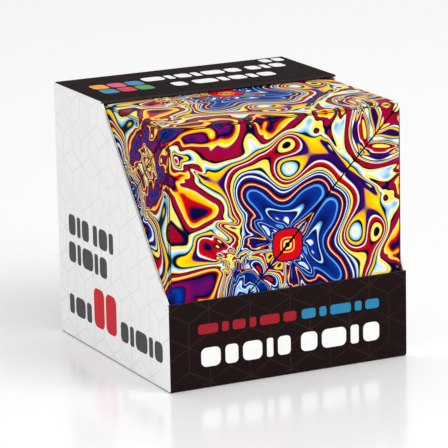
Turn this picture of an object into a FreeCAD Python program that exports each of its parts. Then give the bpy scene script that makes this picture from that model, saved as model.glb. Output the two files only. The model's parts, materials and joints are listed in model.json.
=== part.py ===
"""Folding magnetic cube in its open-corner display carton.

The cube is a closed ring of twelve equal wedges.  Each cube face is cut along one
diagonal, and each of the twelve triangles is the outer face of a wedge whose point is
at the middle of the cube.  Neighbouring wedges are hinged along a cube edge by the
printed film, and disc magnets behind the inner faces hold the cube closed.

Millimetres.  Origin at the middle of the carton's underside, +Z up, front towards -Y.
"""
import FreeCAD, Part
import os
from math import sin, sqrt, tan

Vector = FreeCAD.Vector

# Driving dimensions: the carton
CARTON = 62.0            # outer width, depth and height
BOARD = 0.6              # paperboard thickness
BAND_HEIGHT = 20.8       # top edge of the front band
TOP_BAND_DEPTH = 28.0    # from the back of the carton to the top band's front edge

# Driving dimensions: the cube
CUBE = 60.4              # edge length over the printed film
CUBE_LIFT = 0.05         # air between the carton's base and the cube
SEAM_GAP = 0.2           # each wedge stays this far off the planes it is cut along
FOLD_GAP = 0.05          # the film stops this far short of its fold planes
FILM = 0.2               # printed film
COVER = 1.2              # cover plate
LIP_HEIGHT = 1.6         # the cover's locating lip
LIP_WIDTH = 1.0
LIP_PLAY = 0.05          # between the lip and the shell's walls
WALL = 1.4               # moulded shell wall
CORNER_ROUND = 0.5       # corner radius at the outer face
POINT_ROUND = 0.3        # corner radius at the shell's blunt point
POINT_CUT = 1.4          # height removed from a wedge's sharp point

# Driving dimensions: the magnets, one behind each inner face
MAGNET_DIAMETER = 8.0
MAGNET_HEIGHT = 2.0
MAGNET_PLAY = 0.05       # radial play in the ring that holds a magnet
BOSS_WALL = 1.0          # wall of that ring
BORE_DEPTH = 6.0         # a magnet's way in through its ring, from the hollow side

# Each wedge: the cube face that it belongs to, and the direction from the middle of
# that face to the square corner of its triangle.
WEDGES = {
    "front_upper": ((0, -1, 0), (-1, 0, 1)),
    "front_lower": ((0, -1, 0), (1, 0, -1)),
    "top_front": ((0, 0, 1), (-1, -1, 0)),
    "top_back": ((0, 0, 1), (1, 1, 0)),
    "left_upper": ((-1, 0, 0), (0, 1, 1)),
    "left_lower": ((-1, 0, 0), (0, -1, -1)),
    "back_upper": ((0, 1, 0), (-1, 0, 1)),
    "back_lower": ((0, 1, 0), (1, 0, -1)),
    "right_upper": ((1, 0, 0), (0, 1, 1)),
    "right_lower": ((1, 0, 0), (0, -1, -1)),
    "bottom_front": ((0, 0, -1), (-1, -1, 0)),
    "bottom_back": ((0, 0, -1), (1, 1, 0)),
}

HALF = CARTON / 2
INSIDE = HALF - BOARD
CUBE_CENTRE = Vector(0, 0, BOARD + CUBE_LIFT + CUBE / 2)
HALF_DIAGONAL = CUBE / sqrt(2)


def rounded_outline(corners, radius):
    """Closed wire through the corners, each one rounded by a tangent arc."""
    arcs = []
    for i, corner in enumerate(corners):
        back = (corners[i - 1] - corner).normalize()
        on = (corners[(i + 1) % len(corners)] - corner).normalize()
        half_angle = back.getAngle(on) / 2
        middle = (back + on).normalize()
        reach = radius / tan(half_angle)
        nearest = middle * (radius / sin(half_angle) - radius)
        arcs.append(Part.Arc(corner + back * reach, corner + nearest, corner + on * reach))
    edges = []
    for i, arc in enumerate(arcs):
        edges.append(arc.toShape())
        edges.append(Part.makeLine(arc.EndPoint, arcs[(i + 1) % len(arcs)].StartPoint))
    return Part.Wire(edges)


# A wedge is drawn with the middle of its cube face at the origin: +Z out of the face,
# the cut diagonal along X, the square corner at +Y and the wedge's point at -Z.

def wedge_section(z, hinge_inset, seam_inset, radius):
    """The wedge's triangular section at height z, inset from its inner faces."""
    reach = HALF_DIAGONAL - 2 * hinge_inset + sqrt(2) * z
    left = Vector(seam_inset - reach, seam_inset, z)
    right = Vector(reach - seam_inset, seam_inset, z)
    square_corner = Vector(0, reach, z)
    return rounded_outline([left, right, square_corner], radius)


def wedge_slice(top, bottom, hinge_inset, seam_inset, bottom_round=CORNER_ROUND):
    """Solid between two heights of the wedge."""
    upper = wedge_section(top, hinge_inset, seam_inset, CORNER_ROUND)
    lower = wedge_section(bottom, hinge_inset, seam_inset, bottom_round)
    return Part.makeLoft([upper, lower], True, True)


def point_height(hinge_inset, seam_inset):
    """Height of the sharp point that the inset inner faces would meet at."""
    return (seam_inset + 2 * hinge_inset - HALF_DIAGONAL) / sqrt(2)


def inner_faces():
    """Middle and outward normal of the two hinged faces and the seam face."""
    third = HALF_DIAGONAL / 3
    depth = -CUBE / 6
    return [
        (Vector(third, third, depth), Vector(0.5, 0.5, -sqrt(0.5))),
        (Vector(-third, third, depth), Vector(-0.5, 0.5, -sqrt(0.5))),
        (Vector(0, 0, depth), Vector(0, -1, 0)),
    ]


def disc(radius, height, middle, normal, inset):
    """Cylinder that starts inset behind an inner face and runs into the wedge."""
    return Part.makeCylinder(radius, height, middle - normal * inset, -normal)


def make_shell():
    """Hollow moulded wedge, open at the outer face, with a ring for each magnet."""
    top = -FILM - COVER
    inner = SEAM_GAP + WALL
    bottom = point_height(SEAM_GAP, SEAM_GAP) + POINT_CUT
    floor = point_height(inner, inner) + POINT_CUT
    outside = wedge_slice(top, bottom, SEAM_GAP, SEAM_GAP, POINT_ROUND)
    cavity = wedge_slice(top, floor, inner, inner, POINT_ROUND)
    shell = outside.cut(cavity)
    ring_radius = MAGNET_DIAMETER / 2 + MAGNET_PLAY + BOSS_WALL
    root = WALL / 2
    for middle, normal in inner_faces():
        ring = disc(ring_radius, MAGNET_HEIGHT + root, middle, normal, inner - root)
        shell = shell.fuse(ring)
    for middle, normal in inner_faces():
        bore = disc(MAGNET_DIAMETER / 2 + MAGNET_PLAY, BORE_DEPTH, middle, normal, inner)
        shell = shell.cut(bore)
    return shell.removeSplitter()


def make_cover():
    """Triangular plate under the film, with a lip that drops inside the shell."""
    top = -FILM - COVER
    plate = wedge_slice(-FILM, top, SEAM_GAP, SEAM_GAP)
    outer = SEAM_GAP + WALL + LIP_PLAY
    inner = outer + LIP_WIDTH
    lip = wedge_slice(top, top - LIP_HEIGHT, outer, outer)
    lip = lip.cut(wedge_slice(top, top - LIP_HEIGHT, inner, inner))
    return plate.fuse(lip).removeSplitter()


def make_film():
    """Printed film on the outer face; it runs up to the folds at the cube's edges."""
    return wedge_slice(0, -FILM, FOLD_GAP, SEAM_GAP)


def make_magnets():
    """Three discs, each against the wall behind its inner face."""
    inset = SEAM_GAP + WALL
    discs = []
    for middle, normal in inner_faces():
        discs.append(disc(MAGNET_DIAMETER / 2, MAGNET_HEIGHT, middle, normal, inset))
    return Part.makeCompound(discs)


def wedge_placement(face, corner):
    """Placement that carries a wedge to its place in the cube."""
    out = Vector(*face)
    towards_corner = Vector(*corner).normalize()
    along_seam = towards_corner.cross(out)
    turn = FreeCAD.Rotation(along_seam, towards_corner, out, "ZXY")
    return FreeCAD.Placement(CUBE_CENTRE + out * (CUBE / 2), turn)


def make_side_panel(x):
    """Side panel whose front corner is cut away in a straight slope."""
    front_of_band = HALF - TOP_BAND_DEPTH
    corners = [
        Vector(x, -INSIDE, BOARD),
        Vector(x, INSIDE, BOARD),
        Vector(x, INSIDE, CARTON - BOARD),
        Vector(x, front_of_band, CARTON - BOARD),
        Vector(x, -INSIDE, BAND_HEIGHT),
    ]
    face = Part.Face(Part.makePolygon(corners + corners[:1]))
    return face.extrude(Vector(BOARD, 0, 0))


def box(x_range, y_range, z_range):
    """Plate between two values on each axis."""
    low = Vector(x_range[0], y_range[0], z_range[0])
    size = Vector(x_range[1], y_range[1], z_range[1]) - low
    return Part.makeBox(size.x, size.y, size.z, low)


def make_carton():
    """The carton's panels, folded from one sheet and kept apart at the creases."""
    width = (-HALF, HALF)
    return {
        "carton_base": box(width, (-HALF, HALF), (0, BOARD)),
        "carton_back": box(width, (INSIDE, HALF), (BOARD, CARTON)),
        "carton_front_band": box(width, (-HALF, -INSIDE), (BOARD, BAND_HEIGHT)),
        "carton_top_band": box(width, (HALF - TOP_BAND_DEPTH, INSIDE),
                               (CARTON - BOARD, CARTON)),
        "carton_left_side": make_side_panel(-HALF),
        "carton_right_side": make_side_panel(INSIDE),
    }


def make_cube():
    """Twelve wedges, each a shell, a cover, a film and its magnets."""
    pieces = {
        "shell": make_shell(),
        "cover": make_cover(),
        "film": make_film(),
        "magnets": make_magnets(),
    }
    nodes = {}
    for wedge, (face, corner) in WEDGES.items():
        placement = wedge_placement(face, corner)
        for piece, shape in pieces.items():
            copy = shape.copy()
            copy.transformShape(placement.toMatrix())
            nodes[f"{wedge}_{piece}"] = copy
    return nodes


os.makedirs("parts", exist_ok=True)
for name, shape in {**make_carton(), **make_cube()}.items():
    shape.exportStep(f"parts/{name}.step")
    print(name, shape.isValid(), len(shape.Solids), round(shape.Volume, 1))
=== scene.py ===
"""Looks of the folding magnetic cube in its display carton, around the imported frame."""

import json
import math

import bmesh
import bpy
from mathutils import Matrix, Vector

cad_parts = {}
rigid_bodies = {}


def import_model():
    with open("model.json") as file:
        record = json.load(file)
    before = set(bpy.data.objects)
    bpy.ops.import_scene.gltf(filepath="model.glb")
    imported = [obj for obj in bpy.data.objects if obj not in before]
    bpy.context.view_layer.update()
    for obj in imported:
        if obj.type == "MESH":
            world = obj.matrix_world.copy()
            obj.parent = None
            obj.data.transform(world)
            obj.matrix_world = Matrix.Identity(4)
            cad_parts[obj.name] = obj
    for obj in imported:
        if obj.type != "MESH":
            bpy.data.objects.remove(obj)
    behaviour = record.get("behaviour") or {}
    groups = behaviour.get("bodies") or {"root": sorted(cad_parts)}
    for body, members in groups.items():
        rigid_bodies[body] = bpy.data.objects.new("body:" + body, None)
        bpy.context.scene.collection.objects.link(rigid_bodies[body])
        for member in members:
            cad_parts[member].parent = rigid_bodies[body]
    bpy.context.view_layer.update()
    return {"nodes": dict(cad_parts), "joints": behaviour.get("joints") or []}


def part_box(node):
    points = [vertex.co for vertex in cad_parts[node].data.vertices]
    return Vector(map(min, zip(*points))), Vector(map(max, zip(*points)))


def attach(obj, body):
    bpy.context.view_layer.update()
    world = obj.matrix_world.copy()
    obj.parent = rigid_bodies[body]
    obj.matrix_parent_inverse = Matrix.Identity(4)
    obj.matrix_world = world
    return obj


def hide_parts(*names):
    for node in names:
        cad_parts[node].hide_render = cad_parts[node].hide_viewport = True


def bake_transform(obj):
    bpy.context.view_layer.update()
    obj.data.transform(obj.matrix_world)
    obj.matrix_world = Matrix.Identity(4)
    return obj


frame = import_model()

MM = 0.001
ROOT2 = math.sqrt(2)

# Sizes that the looks add to the frame, in metres
FOLD_LEG = 1.6 * MM        # how far a fold strip reaches onto each face
FOLD_ROUND = 0.9 * MM      # outer radius of the film over a cube edge
FOLD_STEPS = 6             # segments round that radius
FOLD_TURN = 1.12           # a row of points this share of that radius from the edge
FOLD_GAP = 0.04 * MM       # half the gap where the ring of wedges is open
FOLD_AIR = 0.02 * MM       # air under the fold strips, so that they clear the covers
FILM_EDGE = 0.12 * MM      # rounding of the film along a seam
MITRE = 0.02 * MM          # the same where two fold strips of one wedge meet
TIP_CUT = 1.6 * MM         # how far along its edges each corner of the cube is blunted
TIP_SOFT = 0.5 * MM        # softness of that blunting
CREASE_ROUND = 0.7 * MM    # outer radius of a carton crease
CREASE_STEPS = 6           # segments round that radius
CUT_EDGE = 0.06 * MM       # softened edge of cut board
INK = 0.02 * MM            # a printed block's height over the board
BLOCK_ROUND = 0.3          # corner radius of a printed block, as a share of its smaller side
BLOCK_STEPS = 4            # segments round that radius
FLOOR_HALF = 3.0           # half the width of the floor
FLOOR_STEPS = 12           # its squares each way

# The cube's wedges: outward normal of the cube face, and the way from that face's
# middle to the square corner of the wedge's triangle
WEDGES = {
    "front_upper": ((0, -1, 0), (-1, 0, 1)),
    "front_lower": ((0, -1, 0), (1, 0, -1)),
    "top_front": ((0, 0, 1), (-1, -1, 0)),
    "top_back": ((0, 0, 1), (1, 1, 0)),
    "left_upper": ((-1, 0, 0), (0, 1, 1)),
    "left_lower": ((-1, 0, 0), (0, -1, -1)),
    "back_upper": ((0, 1, 0), (-1, 0, 1)),
    "back_lower": ((0, 1, 0), (1, 0, -1)),
    "right_upper": ((1, 0, 0), (0, 1, 1)),
    "right_lower": ((1, 0, 0), (0, -1, -1)),
    "bottom_front": ((0, 0, -1), (-1, -1, 0)),
    "bottom_back": ((0, 0, -1), (1, 1, 0)),
}
OPEN_FOLD = ("back_lower", "bottom_back")       # where the ring of wedges is open
HALVED_FOLD = ("back_lower", "right_upper")     # whose film is in two halves

# The frame's own sizes
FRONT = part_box("front_upper_film")[0].y
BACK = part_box("back_upper_film")[1].y
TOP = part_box("top_front_film")[1].z
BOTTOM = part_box("bottom_front_film")[0].z
HALF = (BACK - FRONT) / 2
HALF_MM = HALF / MM
CENTRE = Vector((0, (FRONT + BACK) / 2, (TOP + BOTTOM) / 2))
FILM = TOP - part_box("top_front_film")[0].z
SEAM_GAP = 0.2 * MM
BASE_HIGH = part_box("carton_base")[1]
BOARD = BASE_HIGH.z
WIDE = BASE_HIGH.x
DEEP = BASE_HIGH.y
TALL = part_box("carton_top_band")[1].z
BAND_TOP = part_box("carton_front_band")[1].z
TOP_BAND_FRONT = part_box("carton_top_band")[0].y


# ---------------------------------------------------------------- node trees

class Tree:
    """A material's node tree, with short forms for the nodes that repeat."""

    def __init__(self, name):
        self.material = bpy.data.materials.new(name)
        self.material.use_nodes = True
        self.nodes = self.material.node_tree.nodes
        self.links = self.material.node_tree.links
        self.shader = self.nodes["Principled BSDF"]

    def put(self, socket, value):
        """Links a socket, or sets its constant."""
        if isinstance(value, bpy.types.NodeSocket):
            self.links.new(value, socket)
        elif value is not None:
            socket.default_value = value

    def math(self, operation, *values):
        node = self.nodes.new("ShaderNodeMath")
        node.operation = operation
        for socket, value in zip(node.inputs, values):
            self.put(socket, value)
        return node.outputs[0]

    def vector(self, operation, a, b=None, scale=None):
        node = self.nodes.new("ShaderNodeVectorMath")
        node.operation = operation
        self.put(node.inputs[0], a)
        if scale is None:
            self.put(node.inputs[1], b)
        else:
            self.put(node.inputs["Scale"], scale)
        single = operation in ("LENGTH", "DOT_PRODUCT", "DISTANCE")
        return node.outputs["Value" if single else "Vector"]

    def split(self, vector):
        node = self.nodes.new("ShaderNodeSeparateXYZ")
        self.put(node.inputs[0], vector)
        return tuple(node.outputs)

    def join(self, x, y, z):
        node = self.nodes.new("ShaderNodeCombineXYZ")
        for socket, value in zip(node.inputs, (x, y, z)):
            self.put(socket, value)
        return node.outputs[0]

    def noise(self, vector, scale, detail=0.0, roughness=0.5, colour=False):
        node = self.nodes.new("ShaderNodeTexNoise")
        self.put(node.inputs["Vector"], vector)
        node.inputs["Scale"].default_value = scale
        node.inputs["Detail"].default_value = detail
        node.inputs["Roughness"].default_value = roughness
        return node.outputs["Color" if colour else "Fac"]

    def centred_noise(self, vector, wavelength):
        """Smooth noise of a given wavelength, between -0.5 and 0.5."""
        return self.math("SUBTRACT", self.noise(vector, 1 / wavelength), 0.5)

    def warp(self, vector, wavelength, amount):
        """The vector, pushed about by smooth noise of a given wavelength."""
        push = self.noise(vector, 1 / wavelength, colour=True)
        push = self.vector("SUBTRACT", push, (0.5, 0.5, 0.5))
        return self.vector("ADD", vector, self.vector("SCALE", push, scale=amount))

    def ramp(self, fac, stops):
        """Colour ramp from (position, colour) pairs, straight between them."""
        node = self.nodes.new("ShaderNodeValToRGB")
        elements = node.color_ramp.elements
        while len(elements) < len(stops):
            elements.new(1.0)
        for element, (position, colour) in zip(elements, stops):
            element.position = position
            element.color = (*colour, 1)
        self.put(node.inputs[0], fac)
        return node.outputs[0]

    def long_ramp(self, fac, parts):
        """Several ramps' worth of stops over 0 to 1."""
        scaled = self.math("MULTIPLY", fac, float(len(parts)))
        colour = None
        for i, stops in enumerate(parts):
            part = self.ramp(self.math("SUBTRACT", scaled, float(i)), stops)
            past = self.math("GREATER_THAN", scaled, float(i))
            colour = part if colour is None else self.mix(past, colour, part)
        return colour

    def step(self, value, low, high):
        """0 below low, 1 above high, smooth between."""
        node = self.nodes.new("ShaderNodeMapRange")
        node.interpolation_type = "SMOOTHSTEP"
        self.put(node.inputs["Value"], value)
        self.put(node.inputs["From Min"], low)
        self.put(node.inputs["From Max"], high)
        return node.outputs[0]

    def mix(self, fac, a, b):
        node = self.nodes.new("ShaderNodeMix")
        node.data_type = "RGBA"
        colours = [socket for socket in node.inputs if socket.type == "RGBA"]
        result = [socket for socket in node.outputs if socket.type == "RGBA"]
        self.put(node.inputs[0], fac)
        self.put(colours[0], rgba(a))
        self.put(colours[1], rgba(b))
        return result[0]

    def bump(self, height, strength, distance):
        node = self.nodes.new("ShaderNodeBump")
        node.inputs["Strength"].default_value = strength
        node.inputs["Distance"].default_value = distance
        self.put(node.inputs["Height"], height)
        self.put(self.shader.inputs["Normal"], node.outputs[0])

    def stored(self, name):
        """A vector stored on the mesh."""
        node = self.nodes.new("ShaderNodeAttribute")
        node.attribute_name = name
        return node.outputs["Vector"]

    def object_place(self):
        return self.nodes.new("ShaderNodeTexCoord").outputs["Object"]

    def finish(self, **sockets):
        """Sets the shader's sockets; a name has an underscore for each space."""
        for name, value in sockets.items():
            self.put(self.shader.inputs[name.replace("_", " ")], rgba(value))
        return self.material


def rgba(value):
    """A colour with full opacity; anything else is left as it is."""
    return (*value, 1) if isinstance(value, tuple) and len(value) == 3 else value


def ink(red, green, blue):
    """Linear colour of an ink given in everyday 0-255 values."""
    def linear(value):
        value /= 255
        return value / 12.92 if value <= 0.04045 else ((value + 0.055) / 1.055) ** 2.4
    return linear(red), linear(green), linear(blue)


RED = ink(204, 8, 14)
DARK_RED = ink(160, 4, 24)
MAGENTA = ink(140, 6, 70)
PURPLE = ink(58, 8, 100)
NAVY = ink(8, 8, 66)
BLUE = ink(8, 52, 156)
LIGHT_BLUE = ink(96, 182, 226)
AMBER = ink(248, 172, 8)
YELLOW = ink(250, 218, 20)
CREAM = ink(244, 228, 130)
WHITE = ink(244, 244, 240)
BLACK = ink(8, 5, 16)
FILM_SCUFF = ink(196, 190, 182)

# The cube's print, in millimetres
PRINT_START = (77.0, 9.0, 150.0)          # where in the noise it is cut from
STIRS = ((30, 44), (15, 20), (6, 5))      # wavelength and reach of each stir of the paint
PATCH = 20                # size of the patches that the bands of colour nest round
FINE_PATCH = 4            # size of the finest curls
BUSY_PATCH = 14           # size of the areas with and without them
STREAK = 1.6              # size of the streaks of light and shade in the paint
COOL_FULL, COOL_END = 10.0, 24.0          # how far from a face's middle cool colours reach
COOL_SWING, COOL_SWING_SIZE = 20.0, 12    # how far their border wanders, and over what size
ROSETTE = 4.0             # half the width of the rosette in the middle of each face


def bands(*parts, soft=0.006):
    """Ramp stops for (width, colour) bands with quick changes between them; a colour
    pair shades from one to the other inside its band."""
    whole = sum(width for width, *_ in parts)
    stops, start = [], 0.0
    for width, *colours in parts:
        end = start + width / whole
        edge = min(soft, (end - start) / 3)
        stops.append((start + edge, colours[0]))
        stops.append((end - edge, colours[-1]))
        start = end
    return stops


# ---------------------------------------------------------------- materials

def folded_place(tree, place):
    """Millimetres from the cube's middle, sorted so that the print mirrors over every
    seam and runs on over every cube edge."""
    offset = tree.vector("SUBTRACT", place, tuple(CENTRE))
    offset = tree.vector("MULTIPLY", offset, (1 / MM, -1 / MM, 1 / MM))
    x, y, z = tree.split(offset)
    high = tree.math("MAXIMUM", tree.math("MAXIMUM", x, y), z)
    low = tree.math("MINIMUM", tree.math("MINIMUM", x, y), z)
    total = tree.math("ADD", tree.math("ADD", x, y), z)
    middle = tree.math("SUBTRACT", tree.math("SUBTRACT", total, high), low)
    return tree.join(high, middle, low)


def marbled(tree, p):
    """Colours of a poured-paint print: nested bands round a warped field, cool towards
    the middle of each cube face and warm outside."""
    cubes = tree.vector("MULTIPLY", tree.vector("MULTIPLY", p, p), tree.vector("ABSOLUTE", p))
    cubed = tree.vector("DOT_PRODUCT", cubes, (1.0, 1.0, 1.0))
    ring = tree.math("POWER", tree.math("MAXIMUM", 0.0, tree.math(
        "SUBTRACT", cubed, HALF_MM ** 3)), 1 / 3)
    radius = tree.math("SQRT", tree.math("MAXIMUM", 0.0, tree.math(
        "SUBTRACT", tree.vector("DOT_PRODUCT", p, p), HALF_MM ** 2)))
    poured = tree.vector("ADD", p, PRINT_START)
    broad, middling, small = STIRS
    flow = tree.warp(tree.warp(poured, *broad), *middling)
    fine = tree.warp(flow, *small)
    busy = tree.step(tree.noise(poured, 1 / BUSY_PATCH), 0.46, 0.6)
    curls = tree.math("MULTIPLY", tree.centred_noise(fine, FINE_PATCH), busy)
    swing = tree.math("MULTIPLY", COOL_SWING, tree.centred_noise(poured, COOL_SWING_SIZE))
    cool = tree.step(tree.math("ADD", radius, swing), COOL_END, COOL_FULL)
    field = tree.math("ADD", 0.80, tree.math("MULTIPLY", 1.6, tree.centred_noise(flow, PATCH)))
    field = tree.math("ADD", field, tree.math("MULTIPLY", 0.5, curls))
    field = tree.math("SUBTRACT", field, tree.math("MULTIPLY", 0.6, cool))
    colour = tree.long_ramp(tree.math("PINGPONG", field, 1.0), [
        bands(
            (5, LIGHT_BLUE, WHITE), (8, BLUE, NAVY), (1.8, WHITE, LIGHT_BLUE), (8, NAVY, BLUE),
            (3, LIGHT_BLUE, BLUE), (7, NAVY, PURPLE), (1.8, CREAM), (3, RED), (3, BLACK),
            (6, NAVY, BLUE), (2.4, WHITE), (4, PURPLE, NAVY), (3, LIGHT_BLUE, WHITE),
            (2.6, BLACK), (5, CREAM, YELLOW)),
        bands(
            (2.4, BLACK, NAVY), (5, DARK_RED, RED), (1.6, WHITE), (4, NAVY, PURPLE),
            (4, AMBER, YELLOW), (2.2, BLACK), (4, LIGHT_BLUE, WHITE), (2.6, YELLOW, CREAM),
            (2.6, BLACK, NAVY), (7, DARK_RED, MAGENTA), (1.6, CREAM), (4.6, YELLOW, AMBER),
            (2.6, RED, DARK_RED), (4, NAVY, BLACK), (8, PURPLE, MAGENTA), (7, NAVY, BLUE))])
    streaks = tree.math("ADD", 0.78, tree.math("MULTIPLY", 0.4, tree.noise(
        fine, 1 / STREAK, detail=1)))
    colour = tree.vector("SCALE", colour, scale=streaks)
    rosette = tree.ramp(tree.math("MULTIPLY", ring, 1 / ROSETTE), bands(
        (2.4, BLACK, NAVY), (1.8, CREAM, YELLOW), (2, RED), (0.8, CREAM), (7, RED),
        (1.5, PURPLE, NAVY)))
    return tree.mix(tree.math("LESS_THAN", ring, ROSETTE), colour, rosette)


def second_largest(tree, p):
    """Second largest of a vector's three parts, signs aside."""
    x, y, z = tree.split(tree.vector("ABSOLUTE", p))
    return tree.math("MAXIMUM", tree.math("MINIMUM", x, y), tree.math(
        "MINIMUM", tree.math("MAXIMUM", x, y), z))


def film_material():
    """Glossy printed film: painted shade darkens it along the cube's edges, and it is scuffed
    beside them.
    """
    tree = Tree("printed_film")
    rest = tree.stored("rest")
    p = folded_place(tree, rest)
    edge = second_largest(tree, p)
    # painted shade: the print is mixed towards black near the cube's edges, where the fold turns
    # into shade
    painted_edge_shade = tree.step(edge, HALF_MM - 0.62, HALF_MM - 0.3)
    colour = tree.mix(tree.math("MULTIPLY", painted_edge_shade, 0.45), marbled(tree, p), BLACK)
    scuffs = tree.step(tree.noise(rest, 900, detail=4, roughness=0.65), 0.54, 0.64)
    scuffs = tree.math("MULTIPLY", scuffs, tree.step(edge, HALF_MM - 1.1, HALF_MM - 0.2))
    colour = tree.mix(tree.math("MULTIPLY", scuffs, 0.22), colour, FILM_SCUFF)
    grain = tree.noise(rest, 2600, detail=2)
    waves = tree.noise(rest, 420, detail=3)
    tree.bump(tree.math("ADD", waves, scuffs), strength=0.05, distance=0.04 * MM)
    rough = tree.math("ADD", 0.30, tree.math("MULTIPLY", grain, 0.08))
    rough = tree.math("ADD", rough, tree.math("MULTIPLY", scuffs, 0.2))
    return tree.finish(Base_Color=colour, Roughness=rough, IOR=1.46, Specular_IOR_Level=0.015)


def wedge_material():
    """Moulded wedge under a dark companion print."""
    tree = Tree("wedge_plastic")
    place = tree.object_place()
    p = folded_place(tree, place)
    swirl = tree.warp(tree.warp(p, 18, 16), 8, 6)
    field = tree.math("FRACT", tree.math("MULTIPLY", tree.noise(swirl, 1 / 12), 4.0))
    colour = tree.ramp(field, bands(
        (9, NAVY, PURPLE), (1.4, LIGHT_BLUE), (6, BLUE, NAVY), (1.2, AMBER), (5, PURPLE, NAVY),
        (3, DARK_RED), (1.2, CREAM), (6, NAVY, BLACK)))
    x, y, z = tree.split(tree.vector("ABSOLUTE", p))
    out = tree.math("MAXIMUM", tree.math("MAXIMUM", x, y), z)
    colour = tree.mix(tree.step(out, HALF_MM - 2.2, HALF_MM - 1.4), colour, BLACK)
    grain = tree.noise(place, 3000, detail=3)
    tree.bump(grain, strength=0.15, distance=0.03 * MM)
    rough = tree.math("ADD", 0.42, tree.math("MULTIPLY", grain, 0.16))
    return tree.finish(Base_Color=colour, Roughness=rough, IOR=1.5, Specular_IOR_Level=0.2)


def magnet_material():
    """Nickel plating with fine turning marks and a few darker patches."""
    tree = Tree("magnet_nickel")
    place = tree.object_place()
    patches = tree.noise(place, 500, detail=4)
    marks = tree.noise(place, 4000, detail=2)
    colour = tree.mix(tree.step(patches, 0.35, 0.75), (0.62, 0.60, 0.56), (0.50, 0.48, 0.45))
    tree.bump(marks, strength=0.1, distance=0.02 * MM)
    rough = tree.math("ADD", 0.16, tree.math("MULTIPLY", patches, 0.2))
    return tree.finish(Base_Color=colour, Metallic=1.0, Roughness=rough)


LATTICE_EDGE = 6.0        # mm, edge of the lattice's rhombi
LATTICE_LINE = 0.19       # mm, half the width of its lines
LATTICE_BLUR = 0.06       # mm, half the width of their soft edge
LATTICE_FOOT = 1.55       # mm, height of its lowest row of spokes on the front band
LATTICE_PRESS = 0.955     # the lattice's height against that of regular hexagons


def lattice(tree, sheet):
    """1 on the lines of a lattice of rhombi (three to a hexagon), 0 between them."""
    apart = LATTICE_EDGE * math.sqrt(3)
    row = 3 * LATTICE_EDGE
    x, y, _ = tree.split(tree.vector("SCALE", sheet, scale=1 / MM))
    y = tree.math("DIVIDE", tree.math("SUBTRACT", y, LATTICE_FOOT), LATTICE_PRESS)
    nearest, offset = None, None
    for shift in (0, 0.5):
        cell = []
        for value, size in ((x, apart), (y, row)):
            turn = tree.math("ADD", tree.math("DIVIDE", value, size), 0.5 + shift)
            part = tree.math("SUBTRACT", tree.math("FRACT", turn), 0.5)
            cell.append(tree.math("MULTIPLY", part, size))
        here = tree.join(cell[0], cell[1], 0.0)
        length = tree.vector("LENGTH", here)
        if nearest is None:
            nearest, offset = length, here
        else:
            closer = tree.math("LESS_THAN", length, nearest)
            step = tree.vector("SCALE", tree.vector("SUBTRACT", here, offset), scale=closer)
            offset = tree.vector("ADD", offset, step)
    distance = None
    for angle in (0, 60, 120):
        across = (math.cos(math.radians(angle)), math.sin(math.radians(angle)), 0)
        away = tree.math("ABSOLUTE", tree.vector("DOT_PRODUCT", offset, across))
        distance = away if distance is None else tree.math("MINIMUM", distance, away)
    return tree.step(distance, LATTICE_LINE + LATTICE_BLUR, LATTICE_LINE - LATTICE_BLUR)


def crease_wear(tree, place):
    """Broken scuffs where the print is folded over the carton's edges."""
    middle = tree.vector("SUBTRACT", place, (0.0, 0.0, TALL / 2))
    x, y, z = tree.split(tree.vector("ABSOLUTE", middle))
    sides = (tree.math("SUBTRACT", WIDE, x), tree.math("SUBTRACT", DEEP, y),
             tree.math("SUBTRACT", TALL / 2, z))
    second = second_largest(tree, tree.join(*sides))
    edge = tree.step(second, 0.35 * MM, 0.12 * MM)
    scuffs = tree.step(tree.noise(place, 700, detail=4, roughness=0.6), 0.50, 0.62)
    return tree.math("MULTIPLY", tree.math("MULTIPLY", edge, scuffs), 0.55)


def board_print_material(name, base, line, worn, rough):
    """Printed face of the carton board: a faint lattice over a slightly uneven coat."""
    tree = Tree(name)
    place = tree.object_place()
    sheet = tree.stored("sheet")
    cloud = tree.noise(place, 120, detail=4)
    mark = tree.math("MULTIPLY", lattice(tree, sheet), tree.step(cloud, 0.15, 0.6))
    colour = tree.mix(mark, base, line)
    fibre = tree.noise(tree.vector("MULTIPLY", place, (1.0, 1.0, 0.35)), 5200, detail=3)
    tone = tree.math("ADD", 0.95, tree.math("MULTIPLY", cloud, 0.1))
    colour = tree.vector("SCALE", colour, scale=tone)
    colour = tree.mix(crease_wear(tree, place), colour, worn)
    tree.bump(fibre, strength=0.12, distance=0.03 * MM)
    rough = tree.math("ADD", rough, tree.math("MULTIPLY", fibre, 0.12))
    return tree.finish(Base_Color=colour, Roughness=rough, IOR=1.45, Specular_IOR_Level=0.01)


def raw_board_material(name, light, dark, scale):
    """Uncoated board with its fibres."""
    tree = Tree(name)
    place = tree.object_place()
    stretched = tree.vector("MULTIPLY", place, (1.0, 0.4, 1.0))
    fibre = tree.noise(stretched, scale, detail=5, roughness=0.65)
    flecks = tree.step(tree.noise(place, scale / 2, detail=2), 0.66, 0.72)
    colour = tree.mix(tree.step(fibre, 0.3, 0.7), light, dark)
    colour = tree.mix(tree.math("MULTIPLY", flecks, 0.4), colour, (0.30, 0.27, 0.24))
    tree.bump(fibre, strength=0.3, distance=0.05 * MM)
    return tree.finish(Base_Color=colour, Roughness=0.85, IOR=1.4)


def ink_material(name, colour):
    """A printed block of one ink, with the board's tooth in it."""
    tree = Tree("ink_" + name)
    place = tree.object_place()
    cloud = tree.noise(place, 900, detail=4)
    tooth = tree.noise(place, 6000, detail=2)
    colour = tree.mix(tree.step(cloud, 0.3, 0.8), colour, tuple(0.95 * c for c in colour))
    tree.bump(tooth, strength=0.1, distance=0.02 * MM)
    rough = tree.math("ADD", 0.38, tree.math("MULTIPLY", tooth, 0.15))
    return tree.finish(Base_Color=colour, Roughness=rough, IOR=1.45, Specular_IOR_Level=0.15)


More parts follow.
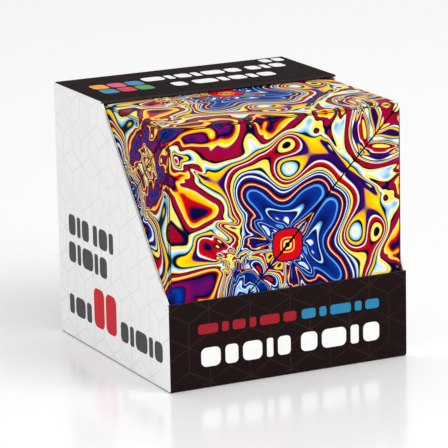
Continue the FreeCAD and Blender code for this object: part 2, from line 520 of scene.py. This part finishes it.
def floor_material():
    """Pale, slightly shiny table top."""
    tree = Tree("floor")
    place = tree.object_place()
    cloud = tree.noise(place, 3, detail=3)
    colour = tree.mix(cloud, (0.91, 0.91, 0.91), (0.94, 0.94, 0.94))
    tree.bump(tree.noise(place, 900, detail=2), strength=0.02, distance=0.1 * MM)
    return tree.finish(Base_Color=colour, Roughness=0.16, IOR=1.4)


# ---------------------------------------------------------------- meshes

def make_object(name, bm, materials, sheet=None):
    """Object from a bmesh; stores each vertex's place at rest, and on a printed sheet."""
    bmesh.ops.recalc_face_normals(bm, faces=bm.faces[:])
    mesh = bpy.data.meshes.new(name)
    bm.to_mesh(mesh)
    bm.free()
    for material in materials:
        mesh.materials.append(material)
    stored = {"rest": [v.co for v in mesh.vertices]}
    if sheet:
        stored["sheet"] = [sheet(v.co) for v in mesh.vertices]
    for attribute, values in stored.items():
        layer = mesh.attributes.new(attribute, "FLOAT_VECTOR", "POINT")
        layer.data.foreach_set("vector", [c for value in values for c in value])
    obj = bpy.data.objects.new(name, mesh)
    bpy.context.scene.collection.objects.link(obj)
    return obj


def shade(obj):
    """Smooth shading, with sharp lines where faces turn by more than 40 degrees."""
    obj.data.shade_smooth()
    obj.data.set_sharp_from_angle(angle=math.radians(40))


def skin(bm, rows, closed=False):
    """Quads between neighbouring rows of vertices; returns the faces row by row."""
    made = []
    for row, after in zip(rows, rows[1:]):
        count = len(row) if closed else len(row) - 1
        line = []
        for i in range(count):
            j = (i + 1) % len(row)
            line.append(bm.faces.new((row[i], row[j], after[j], after[i])))
        made.append(line)
    return made


# ---------------------------------------------------------------- the cube

def make_face_film(wedge):
    """The film on a wedge's outer face, short of its two folds."""
    out, corner = (Vector(v).normalized() for v in WEDGES[wedge])
    along = corner.cross(out)
    turn = Matrix((along, corner, out)).transposed()
    reach = ROOT2 * (HALF - FOLD_LEG)
    bm = bmesh.new()
    rows = []
    profile = [(FILM_EDGE * (1 - math.cos(t)), FILM_EDGE * (1 - math.sin(t)))
               for t in (math.pi / 2, math.pi / 4, 0)]
    for inset, depth in profile + [(0, FILM)]:
        y = SEAM_GAP + inset
        outline = ((y - reach, y), (reach - y, y), (0, reach))
        rows.append([bm.verts.new(CENTRE + turn @ Vector((x, y, HALF - depth)))
                     for x, y in outline])
    skin(bm, rows, closed=True)
    bm.faces.new(rows[0])
    bm.faces.new(rows[-1])
    obj = make_object(wedge + "_print", bm, [FILM_MATERIAL])
    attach(obj, wedge + "_wedge")
    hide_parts(wedge + "_film")


def fold_path(first_angle, last_angle):
    """Points over a cube edge as (distance out of face a, out of face b) with the
    outward normal in the same terms, from the leg on face a to the leg on face b."""
    centre = HALF - FOLD_ROUND
    reaches = (FOLD_LEG, (FOLD_LEG + FOLD_ROUND) / 2, FOLD_ROUND * FOLD_TURN)
    points = []
    if first_angle == 0:
        for reach in reaches:
            points.append(((HALF, HALF - reach), (1, 0)))
    steps = round(FOLD_STEPS * (last_angle - first_angle) / (math.pi / 2))
    for i in range(steps + 1):
        t = first_angle + (last_angle - first_angle) * i / steps
        normal = (math.cos(t), math.sin(t))
        points.append(((centre + FOLD_ROUND * normal[0], centre + FOLD_ROUND * normal[1]), normal))
    if last_angle > 1.5:
        for reach in reversed(reaches):
            points.append(((HALF - reach, HALF), (0, 1)))
    return points


def blunted(place):
    """A place from the cube's middle, pushed in where it is near a corner of the cube."""
    over = sum(abs(c) for c in place) - (3 * HALF - TIP_CUT)
    push = (over + math.sqrt(over * over + TIP_SOFT * TIP_SOFT)) / 2
    return place - Vector([math.copysign(push / 3, c) for c in place])


def make_fold(name, wedge_a, wedge_b, path):
    """Strip of film over the cube edge between two wedges."""
    a, corner_a = (Vector(v) for v in WEDGES[wedge_a])
    b, corner_b = (Vector(v) for v in WEDGES[wedge_b])
    u = a.cross(b)

    def end(point, side):
        """How far along the edge the strip runs there, and whether a seam ends it."""
        gap_a = 0 if corner_a.dot(u) * side > 0 else SEAM_GAP
        gap_b = 0 if corner_b.dot(u) * side > 0 else SEAM_GAP
        return min((point[1] - ROOT2 * gap_a, gap_a), (point[0] - ROOT2 * gap_b, gap_b))

    def row(side, depth, pull_back):
        made = []
        for point, normal in path:
            place = [p - depth * n for p, n in zip(point, normal)]
            reach, gap = end(place, side)
            soften = FILM_EDGE if gap else MITRE
            if pull_back == "soft":
                reach, gap = end(point, side)
                reach -= soften
                place = list(point)
            elif pull_back == "edge":
                place = [p - soften * n for p, n in zip(point, normal)]
                reach = end(place, side)[0]
            corner = place[0] * a + place[1] * b + side * reach * u
            made.append(bm.verts.new(CENTRE + blunted(corner)))
        return made

    bm = bmesh.new()
    under = FILM - FOLD_AIR
    rows = [row(-1, under, ""), row(-1, 0, "edge"), row(-1, 0, "soft"),
            row(1, 0, "soft"), row(1, 0, "edge"), row(1, under, "")]
    skin(bm, rows)
    skin(bm, [rows[-1], rows[0]])
    for i in (0, -1):
        bm.faces.new([line[i] for line in rows])
    obj = make_object(name, bm, [FILM_MATERIAL])
    shade(obj)
    return obj


def make_folds():
    """The film over the cube's twelve edges; on two of them it is cut along the edge."""
    whole = fold_path(0, math.pi / 2)
    gap = math.asin(FOLD_GAP / FOLD_ROUND)
    half = fold_path(0, math.pi / 4 - gap)
    for joint in frame["joints"]:
        wedges = [joint["parent"][:-6], joint["child"][:-6]]
        if not set(wedges) <= set(WEDGES) or set(wedges) == set(HALVED_FOLD):
            continue
        obj = make_fold(joint["name"] + "_film", *wedges, whole)
        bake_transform(obj)
    for wedge, other in (OPEN_FOLD, OPEN_FOLD[::-1], HALVED_FOLD, HALVED_FOLD[::-1]):
        obj = make_fold(f"{wedge}_cut_fold_film_by_{other}", wedge, other, half)
        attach(obj, wedge + "_wedge")


def finish_cad_pieces():
    """Materials for the wedges' moulded parts and magnets, which stay as they are."""
    for name, node in frame["nodes"].items():
        if name.endswith("_magnets"):
            material = MAGNET_MATERIAL
        elif name.endswith(("_shell", "_cover")):
            material = WEDGE_MATERIAL
        else:
            continue
        node.data.materials.clear()
        node.data.materials.append(material)


# ---------------------------------------------------------------- the carton

PRINT, INSIDE, RAW, SIDE_PRINT = range(4)


def wrap_path():
    """The board's outer line in (y, z) with its outward normal, from the front band's
    top edge down, under the cube, up the back and over to the top band's front edge."""
    r = CREASE_ROUND
    points = [((-DEEP, BAND_TOP), (-1, 0))]
    creases = [((-DEEP + r, r), 180), ((DEEP - r, r), 270), ((DEEP - r, TALL - r), 0)]
    for centre, start in creases:
        for i in range(CREASE_STEPS + 1):
            t = math.radians(start + 90 * i / CREASE_STEPS)
            normal = (math.cos(t), math.sin(t))
            points.append(((centre[0] + r * normal[0], centre[1] + r * normal[1]), normal))
    points.append(((TOP_BAND_FRONT, TALL), (0, 1)))
    return points


def make_wrap():
    """Front band, base, back and top band: one strip of board, printed outside."""
    path = wrap_path()
    ends = []
    for i in range(CREASE_STEPS + 1):
        t = math.pi / 2 * i / CREASE_STEPS
        ends.append((BOARD * (1 - math.cos(t)), WIDE - BOARD + BOARD * math.sin(t)))
    across = [(depth, -x) for depth, x in reversed(ends)] + ends
    bm = bmesh.new()

    def line(index, depth_of, shift):
        (y, z), (ny, nz) = path[index]
        back = {0: (0, -shift), len(path) - 1: (shift, 0)}.get(index, (0, 0))
        return [bm.verts.new((x, y - depth * ny + back[0], z - depth * nz + back[1]))
                for depth, x in depth_of]

    rows = [line(i, across, CUT_EDGE) for i in range(len(path))]
    inner = [line(i, [(BOARD, -WIDE), (BOARD, WIDE)], CUT_EDGE) for i in range(len(path))]
    turned = CREASE_STEPS // 2
    for faces in skin(bm, rows):
        for i, face in enumerate(faces):
            is_side = i < turned or i >= len(faces) - turned
            face.material_index = SIDE_PRINT if is_side else PRINT
    for faces in skin(bm, inner):
        faces[0].material_index = INSIDE
    bmesh.ops.remove_doubles(bm, verts=bm.verts[:], dist=1e-7)
    close_cut(bm)

    def sheet(co):
        """Place on the flat sheet: across, and along from the front band's foot."""
        if co.z < BAND_TOP + MM and co.y < -DEEP + 2 * BOARD:
            return (co.x, co.z, 0)
        if co.z < 2 * BOARD:
            return (co.x, -(co.y + DEEP), 0)
        if co.z > TALL - 2 * BOARD:
            return (co.x, co.y, 0)
        return (co.x, co.z, 0)

    obj = make_object("carton_wrap", bm, [BLACK_PRINT, BOARD_INSIDE, DARK_EDGE, WHITE_PRINT], sheet)
    shade(obj)
    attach(obj, "carton")
    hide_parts("carton_base", "carton_back", "carton_front_band", "carton_top_band")


def close_cut(bm):
    """Raw board over the strip's two open ends."""
    open_edges = [e for e in bm.edges if len(e.link_faces) == 1]
    result = bmesh.ops.holes_fill(bm, edges=open_edges, sides=0)
    for face in result["faces"]:
        face.material_index = RAW


def make_side(name, side):
    """Side panel, its front corner cut away in a slope."""
    outline = [
        (-DEEP + BOARD, BOARD), (DEEP - BOARD, BOARD), (DEEP - BOARD, TALL - BOARD),
        (TOP_BAND_FRONT, TALL - BOARD), (-DEEP + BOARD, BAND_TOP),
    ]
    bm = bmesh.new()
    outer = [bm.verts.new((side * WIDE, y, z)) for y, z in outline]
    inner = [bm.verts.new((side * (WIDE - BOARD), y, z)) for y, z in outline]
    walls = skin(bm, [outer, inner], closed=True)[0]
    for wall in walls:
        wall.material_index = RAW
    bm.faces.new(outer).material_index = PRINT
    bm.faces.new(inner).material_index = INSIDE
    slope = [e for e in walls[3].edges if abs(e.verts[0].co.x - e.verts[1].co.x) < BOARD / 2]
    bmesh.ops.bevel(bm, geom=slope, offset=CUT_EDGE, segments=2, profile=0.5, affect="EDGES")
    obj = make_object(name + "_print", bm, [WHITE_PRINT, BOARD_INSIDE, BOARD_EDGE],
                      lambda co: (co.y, co.z, 0))
    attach(obj, "carton")
    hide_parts(name)


# The carton's panels for printing: a corner, the way across and the way up
PANELS = {
    "front": (Vector((0, -DEEP, 0)), Vector((1, 0, 0)), Vector((0, 0, 1))),
    "left": (Vector((-WIDE, 0, 0)), Vector((0, -1, 0)), Vector((0, 0, 1))),
    "right": (Vector((WIDE, 0, 0)), Vector((0, 1, 0)), Vector((0, 0, 1))),
    "top": (Vector((0, 0, TALL)), Vector((1, 0, 0)), Vector((0, 1, 0))),
}


def add_block(bm, panel, outline):
    """Closed slab of ink over an outline on a panel, in millimetres."""
    origin, across, up = PANELS[panel]
    out = across.cross(up)
    rows = []
    for height in (INK, -INK):
        rows.append([bm.verts.new(origin + x * MM * across + y * MM * up + height * out)
                     for x, y in outline])
    skin(bm, rows, closed=True)
    bm.faces.new(rows[0])
    bm.faces.new(rows[1])


def rounded(x0, x1, y0, y1):
    """Outline of a rounded block."""
    radius = BLOCK_ROUND * min(x1 - x0, y1 - y0)
    outline = []
    for cx, cy, start in ((x1 - radius, y0 + radius, -90), (x1 - radius, y1 - radius, 0),
                          (x0 + radius, y1 - radius, 90), (x0 + radius, y0 + radius, 180)):
        for i in range(BLOCK_STEPS + 1):
            t = math.radians(start + 90 * i / BLOCK_STEPS)
            outline.append((cx + radius * math.cos(t), cy + radius * math.sin(t)))
    return outline


def make_blocks(name, panel, material, span, heights, shares, gap):
    """A row of rounded blocks of ink between two places, their widths in shares."""
    x0, end = span
    stretch = (end - x0 - gap * (len(shares) - 1)) / sum(shares)
    bm = bmesh.new()
    for share in shares:
        x1 = x0 + share * stretch
        add_block(bm, panel, rounded(x0, x1, *heights))
        x0 = x1 + gap
    obj = make_object("print_" + name, bm, [material])
    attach(obj, "carton")


def make_graphics():
    """Plain blocks of ink where the carton carries its words and its picture mark."""
    white, red, deep_red, blue, grey, green, orange, rose = (
        ink_material(name, ink(*colour)) for name, colour in (
            ("white", (236, 236, 233)), ("red", (205, 14, 34)), ("deep_red", (152, 25, 36)),
            ("blue", (38, 126, 168)), ("grey", (66, 64, 66)), ("green", (70, 150, 60)),
            ("orange", (240, 150, 30)), ("rose", (214, 70, 120))))
    for name, material, span, heights, shares, gap in (
            ("title_first", white, (-23, 0), (5.1, 9.6), (3, 2, 3, 1, 2), 1.2),
            ("title_second", white, (2.7, 23.4), (5.1, 9.6), (2, 3, 1, 2), 1.2),
            ("line_first", deep_red, (-23.6, 1.6), (12.9, 15.2), (3, 1, 2, 1, 3, 2), 1.0),
            ("line_second", blue, (3, 23.4), (12.9, 15.2), (2, 1, 3, 1, 2), 1.0)):
        make_blocks("front_" + name, "front", material, span, heights, shares, gap)
    for name, span, heights, shares in (
            ("line_first_a", (-12, 14), (18.8, 23.2), (3, 1, 2, 1, 3, 2)),
            ("line_first_b", (16, 26), (18.8, 23.2), (2, 1, 2)),
            ("line_second_a", (-8, -4.5), (10.2, 14.6), (1,)),
            ("line_second_b", (-2.5, 19), (10.2, 14.6), (3, 1, 2, 1, 2)),
            ("corner", (23, 29), (25.4, 29.2), (1, 1))):
        make_blocks("top_" + name, "top", white, span, heights, shares, 0.8)
    for side in ("left", "right"):
        for name, material, span, heights, shares in (
                ("line_1a", grey, (-24.2, -12.4), (26, 31), (2, 1, 2)),
                ("line_1b", grey, (-10, 1.5), (26, 31), (1, 2, 1)),
                ("line_2", grey, (-24.5, -2.4), (19.2, 24.2), (2, 1, 3, 1, 2)),
                ("line_3a", grey, (-25, -12), (6.2, 11.0), (1, 2, 1)),
                ("count", red, (-10.5, 2.3), (6.2, 15.8), (1, 1)),
                ("line_3b", grey, (4.6, 27.5), (6.2, 11.0), (2, 1, 3, 1, 2))):
            make_blocks(f"{side}_{name}", side, material, span, heights, shares, 0.9)
    for row, inks in enumerate(((blue, red, green), (orange, rose, blue))):
        for column, material in enumerate(inks):
            left, low = -26.4 + 4.6 * column, 10.4 + 5.8 * row
            make_blocks(f"top_tile_{row + 1}_{column + 1}", "top", material, (left, left + 4.0),
                        (low, low + 5.0), (1,), 0)


# ---------------------------------------------------------------- the view

AIM = Vector((-1.2, 0.2, 29.5)) * MM
DISTANCE = 737.6 * MM
AZIMUTH, ELEVATION, ROLL = (math.radians(a) for a in (-26.16, 13.75, -1.17))
LENS = 249.1              # mm on a 36 mm sensor


def make_camera():
    """The photo's view: level apart from a small roll, aimed from the front left."""
    camera = bpy.data.objects.new("camera", bpy.data.cameras.new("camera"))
    bpy.context.scene.collection.objects.link(camera)
    camera.data.lens = LENS
    camera.data.sensor_width = 36
    camera.data.clip_start = 0.01
    camera.data.clip_end = 20
    back = Vector((math.sin(AZIMUTH) * math.cos(ELEVATION),
                   -math.cos(AZIMUTH) * math.cos(ELEVATION), math.sin(ELEVATION)))
    level = Vector((0, 0, 1)).cross(back).normalized()
    right = math.cos(ROLL) * level + math.sin(ROLL) * back.cross(level)
    up = back.cross(right)
    turn = Matrix((right, up, back)).transposed().to_4x4()
    camera.matrix_world = Matrix.Translation(AIM + DISTANCE * back) @ turn
    bpy.context.scene.camera = camera


def make_area_light(name, place, size, energy):
    """White rectangular light that faces the cube's middle."""
    light = bpy.data.lights.new(name, "AREA")
    light.shape = "RECTANGLE"
    light.size, light.size_y = size
    light.energy = energy
    obj = bpy.data.objects.new(name, light)
    bpy.context.scene.collection.objects.link(obj)
    obj.location = place
    obj.rotation_euler = (Vector(place) - CENTRE).to_track_quat("Z", "Y").to_euler()


def make_studio():
    """Pale floor under a bright, even sky, with a soft light from the front right and a
    faint one from the front left."""
    bm = bmesh.new()
    bmesh.ops.create_grid(bm, x_segments=FLOOR_STEPS, y_segments=FLOOR_STEPS, size=FLOOR_HALF)
    floor = make_object("floor", bm, [floor_material()])
    world = bpy.data.worlds.new("studio")
    bpy.context.scene.world = world
    world.use_nodes = True
    sky = world.node_tree.nodes["Background"]
    sky.inputs["Color"].default_value = (1.0, 1.0, 1.0, 1)
    sky.inputs["Strength"].default_value = 0.86
    make_area_light("key", place=(0.6, -0.8, 0.8), size=(0.8, 0.8), energy=7.5)
    make_area_light("fill", place=(-0.9, -0.7, 0.25), size=(0.6, 0.5), energy=2)
    bpy.context.scene.view_settings.view_transform = "Standard"


FILM_MATERIAL = film_material()
WEDGE_MATERIAL = wedge_material()
MAGNET_MATERIAL = magnet_material()
BLACK_PRINT = board_print_material("carton_black_print", ink(31, 21, 21), ink(44, 32, 31),
                                   ink(120, 108, 100), 0.55)
WHITE_PRINT = board_print_material("carton_white_print", ink(238, 238, 238), ink(225, 225, 226),
                                   ink(205, 200, 192), 0.55)
BOARD_INSIDE = raw_board_material("board_inside", ink(214, 208, 196), ink(190, 184, 172), 2200)
DARK_EDGE = raw_board_material("board_dark_edge", ink(52, 42, 40), ink(34, 26, 25), 5200)
BOARD_EDGE = raw_board_material("board_edge", ink(238, 236, 230), ink(206, 200, 190), 5200)

for wedge in WEDGES:
    make_face_film(wedge)
make_folds()
finish_cad_pieces()
make_wrap()
make_side("carton_left_side", -1)
make_side("carton_right_side", 1)
make_graphics()
make_camera()
make_studio()
